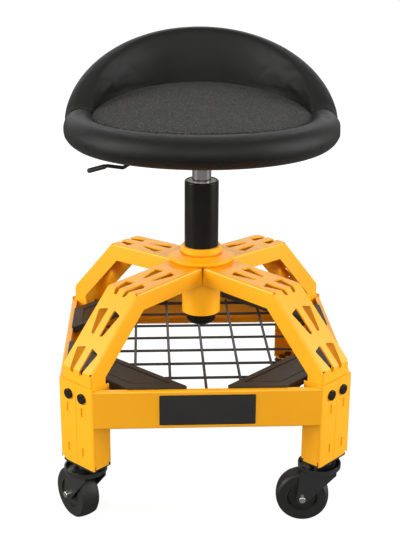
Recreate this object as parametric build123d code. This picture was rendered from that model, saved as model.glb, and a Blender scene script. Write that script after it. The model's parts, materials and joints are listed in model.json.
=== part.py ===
"""Shop stool on four swivel casters: steel base, wire shelf, corner trays, gas lift and padded seat."""
import math
import os

from build123d import *

# Frame: millimetres, origin on the floor on the column's axis, +Z up, front of the stool towards -Y

# Fits shared by all pieces
fit_gap = 0.05
face_gap = 0.05
seat_gap = 0.3
cut_over = 1.0
weld_bite = 0.3

# Square base made of four channel rails
base_half = 203.6
corner_face_half = 32.74
rail_sheet = 1.6
rail_rise = 65.0
rail_height = 56.0
rail_lip = 8.0
rail_low_lip = 22.0
rail_bend_radius = 2.4
wing_bend_radius = 5.0
wing_rise = 3.5
seam_gap = 0.6
wing_chamfer_width = 11.0
wing_chamfer_height = 6.0

# Bolt caps, slots and seam notch in each corner face
bolt_offset = 13.3
bolt_drop = 15.5
cap_radius = 7.5
cap_height = 3.0
cap_round = 1.2
cap_slot_width = 1.6
cap_slot_depth = 0.5
bolt_shank_radius = 3.0
bolt_length = 9.0
slot_width = 8.4
slot_height = 13.5
slot_offset = 14.4
upper_slot_drop = 37.0
lower_slot_rise = 22.5

# Corner posts behind the corner faces
post_sheet = 1.4
post_bend_radius = 3.4
post_depth = 32.0
post_lift = 17.8
post_rise = 2.5
post_notch = 4.0
foot_plate = 2.5

# Arms from the hub to the posts
arm_half = 30.1
arm_sheet = 2.5
arm_depth = 26.0
arm_fold_radius = 3.2
arm_hub_rise = 120.8
arm_hub_radius = 32.0
upper_bend_radius = 162.5
upper_bend_drop = 5.9
lower_bend_drop = 92.7
arm_end_drop = 14.5
fold_hole_radius = 2.0
arm_gap = 0.06

# Wedge cut-outs of an arm, places measured along its top from the hub axis
wedge_start_a = 70.5
wedge_start_b = 130.0
wedge_start_c = 193.8
wedge_start_d = 255.1
wedge_length = 41.0
wedge_slant = 5.5
wedge_inner = 5.7
wedge_outer = 20.9
wedge_tip = 5.6
wedge_round = 1.9

# Hub
sleeve_radius = 28.5
sleeve_drop = 81.3
disc_radius = 49.0
disc_edge = 3.4
disc_rise = 7.2
disc_shoulder = 33.0
collar_radius = 30.8
collar_height = 10.8
collar_neck_radius = 26.6
collar_neck_height = 3.0
collar_round = 2.4

# Gas lift column
column_radius = 25.0
column_rise = 120.2
column_wall = 2.5
column_round = 2.0
taper_top_rise = 12.0
taper_bottom_rise = 2.0
taper_radius = 22.2
column_nose = 18.5
column_floor = 5.5
column_nose_round = 9.0
bushing_length = 84.0
bushing_recess = 0.8
rod_radius = 5.0
rod_neck_radius = 4.0
rod_end_drop = 4.5
clip_radius = 8.5
clip_thickness = 1.4
clip_groove = 0.9
clip_mouth = 5.0
bearing_radius = 17.0
bearing_height = 7.2
bearing_washer = 1.6
bearing_ball_radius = 1.9
bearing_balls = 14
bumper_radius = 15.0
bumper_height = 11.0
piston_rise = 125.5
piston_length = 12.0
piston_groove = 1.2

# Pressure tube, the bright part of the lift
tube_radius = 14.0
tube_bore_radius = 12.0
bumper_gap = 1.2
tube_floor = 4.0
tube_rise = 62.5
tube_plug = 18.0
tube_taper_radius = 13.3
tube_taper_length = 19.0
pin_radius = 2.0
pin_length = 19.0
pin_rise = 5.0

# Seat mechanism under the board
hub_radius = 19.0
hub_drop = 19.0
plate_rise = 11.0
plate_thickness = 3.0
plate_half = 75.0
plate_corner = 14.0
plate_bolt_half = 58.0
plate_bolt_radius = 3.9
plate_bolt_length = 8.0
plate_bolt_head_radius = 7.5
plate_bolt_head = 5.0
lever_pivot = 30.0
lever_ear_half = 7.5
lever_ear_width = 12.0
lever_ear_drop = 9.5
lever_ear_sheet = 2.5
lever_tongue_width = 9.0
lever_tongue_thickness = 3.2
lever_tongue_reach = 5.0
lever_rod_radius = 2.7
lever_barrel_radius = 3.7
lever_pin_radius = 2.0
lever_pin_head_radius = 3.2
lever_pin_head = 1.2
lever_drop_place = 46.0
lever_drop = 9.0
lever_low_place = 113.0
lever_low_drop = 55.0
lever_bend_place = 136.0
lever_bend_drop = 52.0
lever_tip_place = 165.0
lever_tip_drop = 60.0
lever_curve = 6.0
grip_radius = 3.6
grip_round = 3.3

# Seat board, pad, front bolster and backrest
board_thickness = 10.0
ring_radius = 172.0
ring_half_width = 25.0
ring_half_height = 23.0
ring_rise = 4.5
ring_front_rise = 3.5
joint_angle = 85.0
joint_gap = 0.4
seat_turn = 1.3
pad_radius = 156.8
pad_seam_rise = 28.6
pad_tilt_height = 6.75
pad_saddle_height = 6.6
pad_crown = 9.4
back_rise = 122.5
back_roll_lean = 10.0
back_roll_half_width = 19.5
back_roll_half_height = 18.5
back_profile_share = 0.84
back_least_share = 0.03
back_section_count = 15
ring_section_count = 15
panel_inner_radius = 177.0
panel_thickness = 8.0
panel_bottom_rise = 17.0
panel_top_rise = 69.0
panel_angle = 44.0
bracket_width = 34.0
bracket_sheet = 3.0
bracket_angle = 24.0
bracket_inner_radius = 96.0
bracket_top_rise = 61.0

# Wire shelf
wire_radius = 2.0
rim_wire_radius = 2.3
rim_bite = 1.1
wire_pitch = 49.5
shelf_drop = 14.9
shelf_inset = 30.4
shelf_corner_inset = 38.2
shelf_overhang = 2.4
shelf_bend_radius = 6.0
tab_width = 14.0
tab_place = 74.0

# Corner trays
tray_inner = 155.0
tray_outer_inset = 39.2
tray_side_inset = 6.6
tray_tip = 28.1
tray_flange = 2.6
tray_depth = 8.0
tray_wall = 2.4
tray_wall_gap = 0.7
tray_round = 2.2
tray_edge_round = 0.9
rim_inner_width = 9.5
rim_side_width = 15.0
rim_outer_width = 14.2
rim_step = 0.5
groove_width = 2.0
groove_depth = 1.8

# Bare plate on the front rail
name_plate_width = 131.5
name_plate_height = 44.5
name_plate_thickness = 0.9
name_plate_round = 1.5

# Casters
swivel_inset = 18.5
trail = 28.0
wheel_radius = 38.1
wheel_half_width = 14.2
wheel_shoulder = 3.0
wheel_crown = 1.2
wheel_recess_radius = 21.5
wheel_recess_depth = 5.0
wheel_recess_step = 2.0
wheel_boss_radius = 9.0
wheel_boss_half = 15.3
axle_radius = 4.0
axle_half_length = 22.8
axle_head_radius = 4.7
axle_head_round = 1.2
fork_sheet = 2.5
fork_inner = 15.6
fork_eye_radius = 8.6
fork_top_rear = 4.0
fork_top_front = 47.0
crown_gap = 5.5
cup_radius = 30.6
cup_shift = 5.0
cup_height = 7.8
cup_sheet = 2.2
cup_round = 4.5
race_radius = 19.0
race_gap = 0.25
race_height = 4.0
neck_radius = 13.5
kingpin_radius = 5.0
kingpin_head_radius = 8.5
kingpin_head = 3.0
mount_plate = 2.5
mount_plate_length = 62.0
mount_plate_width = 37.0
mount_plate_corner = 5.0
mount_bolt_long = 20.5
mount_bolt_short = 7.5
mount_bolt_radius = 3.0
mount_nut_radius = 6.0
mount_nut_height = 5.4
mount_bolt_end = 1.0
mount_head_radius = 5.4
mount_head = 3.5

# Which way each caster trails, in degrees from +X
corner_names = ("front_left", "front_right", "rear_left", "rear_right")
corner_angles = {"front_left": 225.0, "front_right": 315.0, "rear_left": 135.0, "rear_right": 45.0}
trail_angles = {"front_left": 125.0, "front_right": 174.0, "rear_left": 338.0, "rear_right": 205.0}
rail_angles = {"front": 0.0, "right": 90.0, "rear": 180.0, "left": 270.0}

# Sizes that follow from the ones above
half_root = math.sqrt(0.5)
crown_height = 2 * wheel_radius + crown_gap
cup_rim_height = crown_height + cup_height
post_bottom = crown_height + post_lift
rail_bottom = post_bottom + rail_rise
rail_top = rail_bottom + rail_height
wing_top = rail_top + wing_rise
post_top = rail_top + post_rise
bolt_height = rail_top - bolt_drop
upper_slot_height = rail_top - upper_slot_drop
lower_slot_height = post_bottom + lower_slot_rise
bend_half = base_half - corner_face_half / half_root
corner_face = (base_half + bend_half) * half_root
face_half = (base_half - bend_half) * half_root
miter = rail_sheet * math.tan(math.radians(22.5))
post_face = corner_face - rail_sheet - face_gap
post_half = face_half - miter - face_gap
arm_face = post_face - post_sheet - face_gap
arm_hub_height = rail_top + arm_hub_rise
upper_bend_height = arm_hub_height - upper_bend_drop
lower_bend_height = upper_bend_height - lower_bend_drop
arm_end_height = rail_bottom - arm_end_drop
wedge_starts = (wedge_start_a, wedge_start_b, wedge_start_c, wedge_start_d)
disc_bottom = arm_hub_height + seat_gap
disc_top = disc_bottom + disc_edge + disc_rise
sleeve_bottom = arm_hub_height - sleeve_drop
sleeve_top = disc_top - seat_gap
taper_top = arm_hub_height + taper_top_rise
taper_bottom = sleeve_bottom + taper_bottom_rise
column_top = arm_hub_height + column_rise
column_bottom = sleeve_bottom - column_nose
rod_end_height = column_bottom - rod_end_drop
bearing_bottom = column_bottom + column_floor + face_gap
bearing_top = bearing_bottom + bearing_height
bumper_bottom = bearing_top + face_gap
tube_bottom = bumper_bottom + bumper_height + bumper_gap
piston_height = tube_bottom + piston_rise
tube_top = column_top + tube_rise
hub_bottom = tube_top - hub_drop
plate_bottom = tube_top + plate_rise
board_bottom = plate_bottom + plate_thickness
board_top = board_bottom + board_thickness
board_radius = ring_radius - ring_half_width - face_gap
lever_axis_height = tube_top + pin_rise + seat_gap + lever_tongue_thickness / 2
lever_drop_height = plate_bottom - lever_drop
lever_low_height = plate_bottom - lever_low_drop
lever_bend_height = plate_bottom - lever_bend_drop
lever_tip_height = plate_bottom - lever_tip_drop
ring_side_height = plate_bottom + ring_rise
back_top_height = plate_bottom + back_rise
panel_bottom = plate_bottom + panel_bottom_rise
panel_top = plate_bottom + panel_top_rise
bracket_top = plate_bottom + bracket_top_rise
swivel_distance = corner_face - swivel_inset
pad_centre_height = plate_bottom + pad_seam_rise + pad_crown
shelf_height = rail_top - shelf_drop
shelf_half = base_half - shelf_inset
shelf_corner = corner_face - shelf_corner_inset
shelf_lower = shelf_height - wire_radius + weld_bite / 2
shelf_upper = shelf_height + wire_radius - weld_bite / 2
tray_base = rail_top + face_gap
tray_top = tray_base + tray_flange
tray_bottom = tray_base - tray_depth
tray_outer = corner_face - tray_outer_inset
tray_side = base_half - tray_side_inset
tray_wall_side = base_half - rail_lip - tray_wall_gap
crown_top = crown_height + cup_sheet

parts = {}


def turned(shape, angle):
    """Shape turned about the column axis."""
    return Rot(0, 0, angle) * shape


def upright(points, low, high):
    """Prism over a closed outline in plan."""
    face = make_face(Polyline(*points, close=True))
    return extrude(Pos(0, 0, low) * face, amount=high - low)


def side_prism(points, half_width):
    """Prism across Y over a closed outline of (x, z) points."""
    face = make_face(Polyline(*[(x, 0, z) for x, z in points], close=True))
    return extrude(face, amount=half_width, dir=(0, 1, 0), both=True)


def spun(points):
    """Solid of revolution about Z of a closed outline of (r, z) points."""
    face = make_face(Polyline(*[(r, 0, z) for r, z in points], close=True))
    return revolve(face, Axis.Z)


def ring(outer, inner, low, high):
    """Plain ring about Z."""
    return spun([(inner, low), (outer, low), (outer, high), (inner, high)])


def rod(radius, low, high):
    """Round bar standing on Z."""
    return Pos(0, 0, low) * Cylinder(radius, high - low, align=(Align.CENTER, Align.CENTER, Align.MIN))


def rod_along(radius, axis, start, length):
    """Round bar from a start point along an axis."""
    bar = Cylinder(radius, length, align=(Align.CENTER, Align.CENTER, Align.MIN))
    return Plane(origin=start, z_dir=axis) * bar


def offset_path(points, distance):
    """Open path moved sideways, to the right of its run, with mitred corners."""
    moved = []
    for index, (x, z) in enumerate(points):
        normals = []
        for start, end in ((index - 1, index), (index, index + 1)):
            if start >= 0 and end < len(points):
                dx = points[end][0] - points[start][0]
                dz = points[end][1] - points[start][1]
                length = math.hypot(dx, dz)
                normals.append((dz / length, -dx / length))
        nx = sum(n[0] for n in normals)
        nz = sum(n[1] for n in normals)
        scale = distance / (nx * normals[0][0] + nz * normals[0][1])
        moved.append((x + nx * scale, z + nz * scale))
    return moved


def rounded_edges(shape, radius, chosen):
    """Fillet the chosen edges, which the caller names by a test on the edge."""
    edges = [edge for edge in shape.edges() if chosen(edge)]
    return fillet(edges, radius)


def make_rail(chamfered):
    """Front rail: web, two lips, two corner wings at 45 degrees and the tabs that carry the shelf."""
    seam_x = corner_face * half_root - seam_gap / 2 * half_root
    seam_y = -corner_face * half_root - seam_gap / 2 * half_root
    wing_inner = rail_sheet * half_root
    outer = [(-seam_x, seam_y), (-bend_half, -base_half), (bend_half, -base_half), (seam_x, seam_y)]
    inner = [(seam_x - wing_inner, seam_y + wing_inner), (bend_half - miter, -base_half + rail_sheet),
             (-bend_half + miter, -base_half + rail_sheet), (-seam_x + wing_inner, seam_y + wing_inner)]
    face = make_face(Polyline(*(outer + inner), close=True))
    outer_bends = [v for v in face.vertices() if abs(v.Y + base_half) < fit_gap]
    face = fillet(outer_bends, wing_bend_radius)
    inner_bends = [v for v in face.vertices() if abs(v.Y + base_half - rail_sheet) < fit_gap]
    face = fillet(inner_bends, wing_bend_radius - rail_sheet)
    rail = extrude(Pos(0, 0, post_bottom) * face, amount=wing_top - post_bottom)
    flat_half = bend_half - wing_bend_radius / 2
    window = Box(2 * flat_half, 4 * rail_sheet, 2 * wing_top)
    rail -= Pos(0, -base_half, 0) * window
    back = -base_half + rail_lip
    low_back = -base_half + rail_low_lip
    web_back = -base_half + rail_sheet
    low_lip_top = rail_bottom + rail_sheet
    high_lip_bottom = rail_top - rail_sheet
    section = [(-base_half, rail_bottom), (low_back, rail_bottom),
               (low_back, low_lip_top), (web_back, low_lip_top),
               (web_back, high_lip_bottom), (back, high_lip_bottom), (back, rail_top), (-base_half, rail_top)]
    profile = make_face(Polyline(*[(0, y, z) for y, z in section], close=True))
    corners = [v for v in profile.vertices() if abs(v.Y + base_half) < fit_gap]
    profile = fillet(corners, rail_bend_radius)
    rail += extrude(profile, amount=flat_half, dir=(1, 0, 0), both=True)
    for side in (-1, 1):
        for lip, low in ((rail_low_lip, rail_bottom), (rail_lip, high_lip_bottom)):
            lip_back = -base_half + lip
            beyond = [(side * (bend_half - rail_sheet), web_back), (side * (bend_half - lip), lip_back),
                      (side * (bend_half - lip), lip_back + cut_over), (side * bend_half, lip_back + cut_over),
                      (side * bend_half, web_back)]
            rail -= upright(beyond, low - cut_over, low + rail_sheet + cut_over)
    lip_root = -base_half + rail_sheet / 2
    for side in (-1, 1):
        tab_depth = base_half - shelf_half + rim_wire_radius
        tab = Box(tab_width, tab_depth - rail_sheet / 2, rail_sheet,
                  align=(Align.CENTER, Align.MIN, Align.MAX))
        rail += Pos(side * tab_place, lip_root, shelf_lower - rim_wire_radius - face_gap) * tab
        rail -= wing_holes(side)
        if chamfered:
            rail -= wing_chamfer(side)
    return rail


def corner_frame(angle, distance, height):
    """Plane on a corner face: X along the face, Y up, Z outwards."""
    outward = Vector(math.cos(math.radians(angle)), math.sin(math.radians(angle)), 0)
    along = Vector(-outward.Y, outward.X, 0)
    return Plane(origin=outward * distance + Vector(0, 0, height), x_dir=along, z_dir=outward)


def wing_holes(side):
    """Bolt hole and two slots of one wing of the front rail."""
    angle = corner_angles["front_right"] if side > 0 else corner_angles["front_left"]
    frame = corner_frame(angle, corner_face, 0)
    depth = rail_sheet * 2 + cut_over
    tool = Pos(-side * bolt_offset, bolt_height) * Cylinder(bolt_shank_radius + fit_gap, 2 * depth)
    for height in (upper_slot_height, lower_slot_height):
        tool += Pos(-side * slot_offset, height) * Box(slot_width, slot_height, 2 * depth)
    return frame * tool


def wing_chamfer(side):
    """Corner cut off the low end of a wing, beside its bend."""
    angle = corner_angles["front_right"] if side > 0 else corner_angles["front_left"]
    return corner_frame(angle, corner_face, 0) * chamfer_tool(-side)


def chamfer_tool(side):
    """Triangle at the low outer corner of a corner face, as a cutter."""
    corner_x = side * (face_half + cut_over)
    start_x = side * (face_half - wing_chamfer_width)
    low = post_bottom - cut_over
    high = post_bottom + wing_chamfer_height
    points = [(corner_x, low), (start_x, low), (start_x, post_bottom),
              (side * face_half, high), (corner_x, high)]
    face = make_face(Polyline(*points, close=True))
    return extrude(face, amount=rail_sheet * 2 + cut_over, both=True)


def bolt_hole(side):
    """Cutter for a corner bolt through the post and the arm's end, along +X."""
    start = (arm_face - arm_depth, side * bolt_offset, bolt_height)
    return rod_along(bolt_shank_radius + fit_gap, (1, 0, 0), start, 2 * arm_depth)


def make_post():
    """Corner post along +X: a channel open towards the hub, closed below by the plate the caster bolts to."""
    inner_face = post_face - post_sheet
    open_end = post_face - post_depth
    plan = [(open_end, -post_half), (post_face, -post_half), (post_face, post_half), (open_end, post_half),
            (open_end, post_half - post_sheet), (inner_face, post_half - post_sheet),
            (inner_face, -post_half + post_sheet), (open_end, -post_half + post_sheet)]
    face = make_face(Polyline(*plan, close=True))
    face = fillet([v for v in face.vertices() if v.X > post_face - fit_gap], post_bend_radius)
    within = post_half - post_sheet / 2
    inner_bends = [v for v in face.vertices() if abs(v.X - inner_face) < fit_gap and abs(v.Y) < within]
    face = fillet(inner_bends, post_bend_radius - post_sheet)
    post = extrude(Pos(0, 0, post_bottom) * face, amount=post_top - post_bottom)
    foot_length = inner_face - open_end - post_notch
    foot = Box(foot_length, 2 * within, foot_plate, align=(Align.MAX, Align.CENTER, Align.MIN))
    post += Pos(inner_face + post_sheet / 2, 0, post_bottom) * foot
    notch = Box(post_notch, 2 * base_half, 2 * post_notch)
    post -= Pos(open_end + post_notch / 2, 0, post_bottom) * notch
    for side in (-1, 1):
        post -= corner_frame(0, post_face, 0) * chamfer_tool(side)
        post -= bolt_hole(side)
        for offset in (-mount_bolt_short, mount_bolt_short):
            post -= Pos(swivel_distance + offset, side * mount_bolt_long, 0) * rod(
                mount_bolt_radius + fit_gap, post_bottom - cut_over, post_bottom + foot_plate + cut_over)
    return post


def arm_path():
    """Top line of an arm in (distance from the column, height)."""
    return [(arm_hub_radius, arm_hub_height), (upper_bend_radius, upper_bend_height),
            (arm_face, lower_bend_height), (arm_face, arm_end_height)]


def wedge_cutter(path, start, side):
    """One wedge hole: a flat cutter on each straight stretch of the path that the hole reaches."""
    edge = side * wedge_inner
    outline = [(0, edge), (wedge_slant, side * wedge_outer), (wedge_length, side * (wedge_inner + wedge_tip)),
               (wedge_length + wedge_slant / 2, edge)]
    cutter = None
    travelled = path[0][0]
    for (x0, z0), (x1, z1) in zip(path, path[1:]):
        length = math.hypot(x1 - x0, z1 - z0)
        low = start - travelled
        if low < length and low + wedge_length + wedge_slant > 0:
            along = Vector(x1 - x0, 0, z1 - z0)
            normal = Vector(-(z1 - z0), 0, x1 - x0)
            frame = Plane(origin=(x0, 0, z0), x_dir=along, z_dir=normal)
            face = make_face(Polyline(*[(low + x, y) for x, y in outline], close=True))
            face = fillet(face.vertices(), wedge_round)
            flat = extrude(face, amount=2 * arm_sheet, both=True)
            keep = Pos(length / 2, 0, 0) * Box(length + 2 * arm_sheet, 4 * arm_half, 8 * arm_sheet)
            piece = frame * (flat & keep)
            cutter = piece if cutter is None else cutter + piece
        travelled += length
    return cutter


def make_arm():
    """Arm along +X: an inverted channel folded at two bends, with four pairs of wedge holes."""
    path = arm_path()
    inner = offset_path(path, arm_depth)
    shell = side_prism(path + inner[::-1], arm_half)
    core_top = offset_path(path, arm_sheet)
    core_low = offset_path(path, arm_depth + 2 * cut_over)
    end = arm_end_height - cut_over
    hub_end = arm_hub_radius - cut_over
    core = [(hub_end, core_top[0][1])] + core_top[1:-1] + [(core_top[-1][0], end), (core_low[-1][0], end)]
    core = core + core_low[1:-1][::-1] + [(hub_end, core_low[0][1])]
    shell -= side_prism(core, arm_half - arm_sheet)
    shell = rounded_edges(shell, arm_fold_radius, lambda e: abs(abs(e.center().Y) - arm_half) < fit_gap
                          and min(near_line(e.center(), a, b) for a, b in zip(path, path[1:])) < fit_gap)
    for start in wedge_starts:
        for side in (-1, 1):
            shell -= wedge_cutter(path, start, side)
    inset = fold_hole_radius / 2
    for x, z in path[1:3]:
        for side in (-1, 1):
            start = (x - inset, side * (arm_half - 2 * arm_sheet), z - inset)
            shell -= rod_along(fold_hole_radius, (0, side, 0), start, 3 * arm_sheet)
    shell -= rod(sleeve_radius + face_gap, arm_hub_height - 2 * arm_depth, arm_hub_height + arm_depth)
    reach = 2 * base_half
    beyond = Box(2 * reach, 2 * reach, 2 * reach)
    for side in (-1, 1):
        shell -= Rot(0, 0, side * 45) * Pos(0, side * (reach - arm_gap), 0) * beyond
        shell -= bolt_hole(side)
    return shell


def near_line(point, start, end):
    """Distance of a point, in the XZ plane, from the line through two (x, z) points, within their span."""
    dx = end[0] - start[0]
    dz = end[1] - start[1]
    length = math.hypot(dx, dz)
    px = point.X - start[0]
    pz = point.Z - start[1]
    along = (px * dx + pz * dz) / length
    across = abs(px * dz - pz * dx) / length
    inside = 0 <= along <= length
    return across if inside else across + length


def make_hub():
    """Sleeve, cover disc and collar around the column, all about Z."""
    bore_top = column_radius + fit_gap
    bore_bottom = taper_radius + fit_gap
    slope = (bore_top - bore_bottom) / (taper_top - taper_bottom)
    parts["hub_sleeve"] = spun([
        (bore_bottom, sleeve_bottom), (sleeve_radius, sleeve_bottom), (sleeve_radius, sleeve_top),
        (bore_top + slope * (sleeve_top - taper_top), sleeve_top), (bore_bottom, taper_bottom)])
    disc_inner = sleeve_radius + face_gap
    disc_edge_low = disc_bottom + disc_edge
    parts["hub_disc"] = spun([
        (disc_inner, disc_bottom), (disc_radius - disc_edge, disc_bottom), (disc_radius, disc_edge_low),
        (disc_radius, disc_edge_low + disc_edge / 2),
        (disc_radius - disc_edge / 2, disc_edge_low + disc_edge),
        (disc_shoulder, disc_top), (disc_inner, disc_top)])
    collar_bottom = disc_top + face_gap
    neck_top = collar_bottom + collar_neck_height
    collar_top = collar_bottom + collar_height
    bore = column_radius + fit_gap
    parts["hub_collar"] = spun([
        (bore, collar_bottom), (collar_neck_radius, collar_bottom), (collar_neck_radius, neck_top),
        (collar_radius, neck_top), (collar_radius, collar_top - collar_round),
        (collar_radius - collar_round, collar_top), (bore, collar_top)])


def make_column():
    """Fixed half of the gas lift: tube, bushing, thrust bearing and bumper."""
    floor_top = column_bottom + column_floor
    inner = column_radius - column_wall
    low_inner = taper_radius - column_wall
    hole = rod_neck_radius + fit_gap
    tube = spun([(hole, column_bottom), (taper_radius, column_bottom), (taper_radius, taper_bottom),
                 (column_radius, taper_top), (column_radius, column_top),
                 (inner, column_top), (inner, taper_top),
                 (low_inner, taper_bottom), (low_inner, floor_top), (hole, floor_top)])
    tube = rounded_edges(tube, column_nose_round, lambda e: abs(e.center().Z - column_bottom) < fit_gap
                         and e.radius > taper_radius - fit_gap)
    tube = rounded_edges(tube, column_round, lambda e: abs(e.center().Z - column_top) < fit_gap
                         and e.radius > column_radius - fit_gap)
    parts["column_tube"] = tube
    bushing_top = column_top - bushing_recess
    bushing_bottom = bushing_top - bushing_length
    parts["column_bushing"] = ring(inner - fit_gap, tube_radius + fit_gap, bushing_bottom, bushing_top)
    bearing = ring(bearing_radius, rod_neck_radius + seat_gap,
                   bearing_bottom, bearing_bottom + bearing_washer)
    bearing += ring(bearing_radius, rod_neck_radius + seat_gap, bearing_top - bearing_washer, bearing_top)
    ball_circle = (bearing_radius + rod_neck_radius) / 2
    ball_height = (bearing_bottom + bearing_top) / 2
    ball = Sphere((bearing_height - 2 * bearing_washer) / 2 + weld_bite / 2)
    for index in range(bearing_balls):
        angle = math.tau * index / bearing_balls
        bearing += Pos(ball_circle * math.cos(angle), ball_circle * math.sin(angle), ball_height) * ball
    parts["thrust_bearing"] = bearing
    bumper_top = bumper_bottom + bumper_height
    parts["rebound_bumper"] = ring(bumper_radius, rod_radius + 2 * seat_gap, bumper_bottom, bumper_top)


def make_rod():
    """Turning half of the lift: piston rod, piston and the clip that holds the rod in the column's floor."""
    shoulder = bearing_top + face_gap
    clip_top = column_bottom - seat_gap
    clip_bottom = clip_top - clip_thickness
    groove_radius = rod_neck_radius - clip_groove
    thread_radius = rod_radius - clip_groove
    piston_top = piston_height + piston_length
    parts["piston_rod"] = spun([
        (0, rod_end_height), (rod_neck_radius, rod_end_height), (rod_neck_radius, clip_bottom - face_gap),
        (groove_radius, clip_bottom - face_gap), (groove_radius, clip_top + face_gap),
        (rod_neck_radius, clip_top + face_gap), (rod_neck_radius, shoulder), (rod_radius, shoulder),
        (rod_radius, piston_height), (thread_radius, piston_height),
        (thread_radius, piston_top), (0, piston_top)])
    clip = ring(clip_radius, groove_radius + fit_gap, clip_bottom, clip_top)
    clip -= Pos(clip_radius, 0, clip_top) * Box(2 * clip_radius, clip_mouth, 4 * clip_thickness)
    parts["retaining_clip"] = clip
    outer = tube_bore_radius - fit_gap
    low = piston_height + face_gap
    middle = (low + piston_top) / 2
    parts["piston"] = spun([
        (thread_radius + fit_gap, low), (outer, low), (outer, middle - piston_groove),
        (outer - piston_groove, middle - piston_groove), (outer - piston_groove, middle + piston_groove),
        (outer, middle + piston_groove), (outer, piston_top), (thread_radius + fit_gap, piston_top)])


def make_tube():
    """Bright pressure tube and the release pin in its top."""
    shoulder = tube_top - tube_taper_length
    plug_bottom = tube_top - tube_plug
    parts["pressure_tube"] = spun([
        (rod_radius + fit_gap, tube_bottom), (tube_radius, tube_bottom), (tube_radius, shoulder),
        (tube_taper_radius, tube_top), (pin_radius + fit_gap, tube_top), (pin_radius + fit_gap, plug_bottom),
        (tube_bore_radius, plug_bottom), (tube_bore_radius, tube_bottom + tube_floor),
        (rod_radius + fit_gap, tube_bottom + tube_floor)])
    pin_top = tube_top + pin_rise
    parts["release_pin"] = rod(pin_radius, pin_top - pin_length, pin_top)


def make_mechanism():
    """Seat hub, seat plate with lever ears, its bolts, and the height lever."""
    shoulder = tube_top - tube_taper_length
    bore_low = tube_radius + fit_gap
    bore_high = tube_taper_radius + fit_gap
    hub = spun([(bore_low, hub_bottom), (hub_radius, hub_bottom), (hub_radius, plate_bottom - face_gap),
                (bore_high, plate_bottom - face_gap), (bore_high, tube_top),
                (bore_low, max(shoulder, hub_bottom))])
    slot_low = tube_top + pin_rise / 2
    slot = Box(2 * hub_radius, lever_tongue_width + 2 * cut_over, plate_bottom - slot_low,
               align=(Align.CENTER, Align.CENTER, Align.MIN))
    parts["seat_hub"] = hub - Pos(0, 0, slot_low) * slot

    plate = Box(2 * plate_half, 2 * plate_half, plate_thickness,
                align=(Align.CENTER, Align.CENTER, Align.MIN))
    plate = fillet(plate.edges().filter_by(Axis.Z), plate_corner)
    plate = Pos(0, 0, plate_bottom) * plate
    ear = Box(lever_ear_width, lever_ear_sheet, lever_ear_drop + cut_over,
              align=(Align.CENTER, Align.CENTER, Align.MAX))
    for side in (-1, 1):
        plate += Pos(-lever_pivot, side * lever_ear_half, plate_bottom + cut_over) * ear
    hinge_length = 2 * lever_ear_half + lever_ear_sheet
    plate -= rod_along(lever_pin_radius + fit_gap, (0, 1, 0),
                       (-lever_pivot, -hinge_length, lever_axis_height),
                       2 * hinge_length)
    head_low = plate_bottom - plate_bolt_head
    bolt_top = board_bottom + plate_bolt_length
    head = extrude(RegularPolygon(plate_bolt_head_radius, 6), amount=plate_bolt_head - face_gap)
    bolt = rod(plate_bolt_radius, head_low, bolt_top) + Pos(0, 0, head_low) * head
    hole = rod(plate_bolt_radius + fit_gap, plate_bottom - cut_over, bolt_top + face_gap)
    places = [(x, y) for x in (-plate_bolt_half, plate_bolt_half)
              for y in (-plate_bolt_half, plate_bolt_half)]
    bolts = [Pos(x, y, 0) * bolt for x, y in places]
    holes = [Pos(x, y, 0) * hole for x, y in places]
    for hole in holes:
        plate -= hole
    parts["seat_plate"] = plate
    parts["seat_plate_bolts"] = Compound(children=bolts)

    tongue_end = lever_pivot + lever_ear_width / 2
    tongue = Box(tongue_end + lever_tongue_reach, lever_tongue_width, lever_tongue_thickness,
                 align=(Align.MAX, Align.CENTER, Align.CENTER))
    lever = Pos(lever_tongue_reach, 0, lever_axis_height) * tongue
    barrel_start = (-lever_pivot, -lever_tongue_width / 2, lever_axis_height)
    lever += rod_along(lever_barrel_radius, (0, 1, 0), barrel_start, lever_tongue_width)
    run = [(-lever_pivot - lever_pin_radius * 2, 0, lever_axis_height),
           (-lever_drop_place, 0, lever_drop_height),
           (-lever_low_place, 0, lever_low_height), (-lever_bend_place, 0, lever_bend_height),
           (-lever_tip_place + grip_radius, 0, lever_tip_height + grip_radius * half_root / 2)]
    line = FilletPolyline(*run, radius=lever_curve)
    start = Plane(origin=line @ 0, z_dir=line % 0)
    lever += sweep(start * Circle(lever_rod_radius), path=line)
    lever -= rod_along(lever_pin_radius + fit_gap, (0, 1, 0),
                       (-lever_pivot, -hinge_length, lever_axis_height),
                       2 * hinge_length)
    grip_start = Vector(-lever_bend_place - lever_curve / 2, 0, lever_bend_height)
    grip_end = Vector(-lever_tip_place, 0, lever_tip_height)
    grip_axis = Vector(*run[-1]) - Vector(*run[-2])
    grip = rod_along(grip_radius, grip_axis, Vector(*run[-2]) + grip_axis.normalized() * lever_curve / 2,
                     (grip_end - grip_start).length)
    grip = fillet(grip.edges().filter_by(GeomType.CIRCLE).sort_by(Axis.X)[0], grip_round)
    parts["lever_rod"] = lever
    parts["lever_grip"] = grip - lever
    half = lever_ear_half + lever_ear_sheet / 2
    pin = rod_along(lever_pin_radius, (0, 1, 0), (-lever_pivot, -half, lever_axis_height), 2 * half)
    for side in (-1, 1):
        pin += rod_along(lever_pin_head_radius, (0, side, 0),
                         (-lever_pivot, side * (half + face_gap), lever_axis_height), lever_pin_head)
    pin += rod_along(lever_pin_radius, (0, 1, 0), (-lever_pivot, -half - lever_pin_head, lever_axis_height),
                     2 * (half + lever_pin_head))
    parts["lever_pin"] = pin

    board = rod(board_radius, board_bottom + face_gap, board_top)
    for hole in holes:
        board -= hole
    parts["seat_board"] = board


def ring_height(angle):
    """Height of the padded ring's middle, angle measured from the back of the seat."""
    front = max(0.0, -math.cos(math.radians(angle)))
    return ring_side_height + ring_front_rise * front * front


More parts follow.
